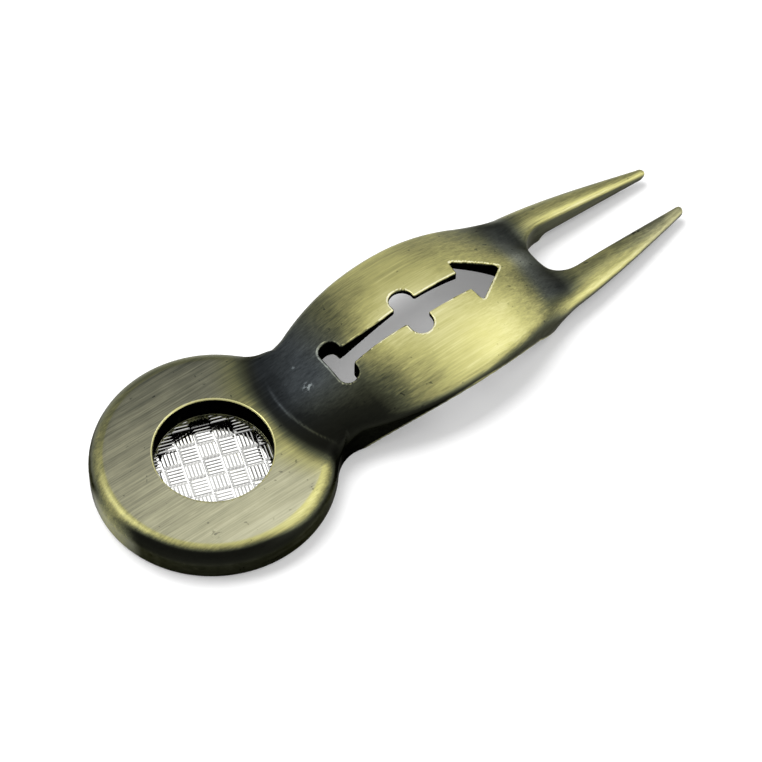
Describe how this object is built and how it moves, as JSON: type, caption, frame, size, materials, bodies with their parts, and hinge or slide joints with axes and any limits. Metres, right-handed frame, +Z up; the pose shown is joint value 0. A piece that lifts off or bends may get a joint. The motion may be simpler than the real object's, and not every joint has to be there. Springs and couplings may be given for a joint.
{
  "type": "divot repair tool",
  "caption": "Two-pronged golf divot repair tool with a domed body, an arrow-shaped sighting slot and a round head that holds a magnetic ball marker.",
  "frame": {"origin": "middle of the bounding box in plan, at the level of the surface that the tool lies on", "axes": "+X from the round head to the prong tips, +Z up out of the domed face, Y = 0 is the plane of symmetry"},
  "size_m": [0.0862, 0.03, 0.0088],
  "materials": {
    "antique_brass": "brushed antique brass plating with dark patina in the hollows",
    "nickel_plate": "bright nickel plating",
    "magnet_nickel": "satin nickel plating"
  },
  "bodies": {
    "tool": {"tool_body": "antique_brass", "magnet_1": "magnet_nickel", "magnet_2": "magnet_nickel"},
    "marker": {"ball_marker": "nickel_plate"}
  },
  "joints": [
    {"name": "marker_release", "type": "slide", "parent": "tool", "child": "marker", "axis": [0, 0, -1], "range_m": [0, 0.008]}
  ]
}
